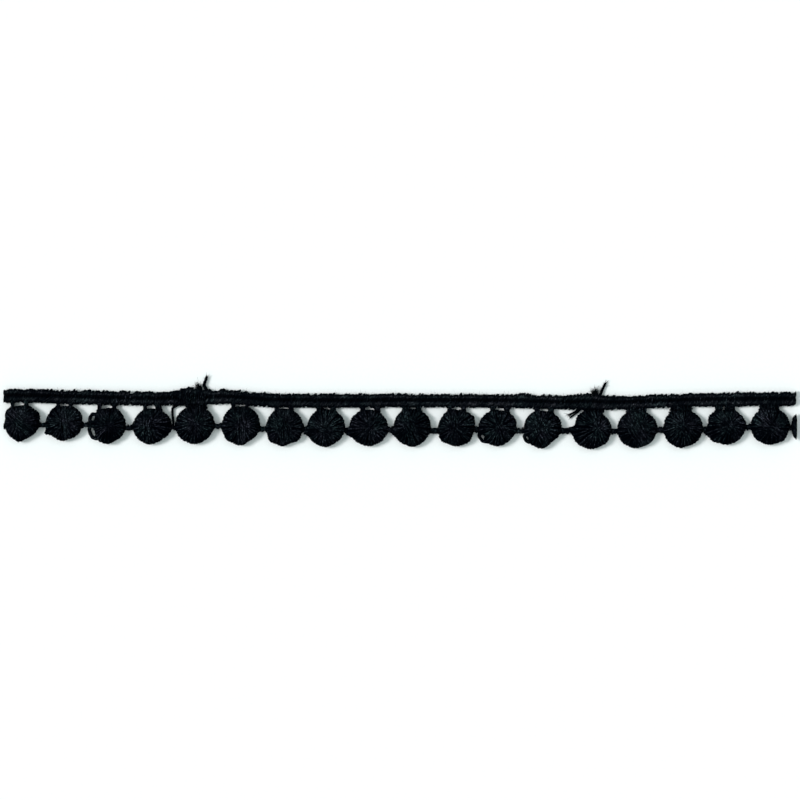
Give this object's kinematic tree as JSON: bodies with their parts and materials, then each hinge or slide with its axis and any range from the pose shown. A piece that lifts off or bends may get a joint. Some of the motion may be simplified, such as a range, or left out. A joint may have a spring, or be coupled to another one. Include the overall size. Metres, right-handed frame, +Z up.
{
  "type": "cotton lace trim",
  "caption": "Black cotton guipure lace trim, a cut length lying flat: a corded heading with a row of padded balls hung below it, for sewing along an edge.",
  "frame": {"origin": "on the surface it lies on, under the middle of the heading's back face, half way along the trim", "axes": "+X along the trim, +Y from the balls towards the heading, +Z up out of the face that shows"},
  "size_m": [0.1902, 0.0174, 0.0028],
  "materials": {
    "black_cotton": "matte satin-stitched thread"
  },
  "bodies": {
    "root": {"lace_trim": "black_cotton"}
  },
  "joints": []
}
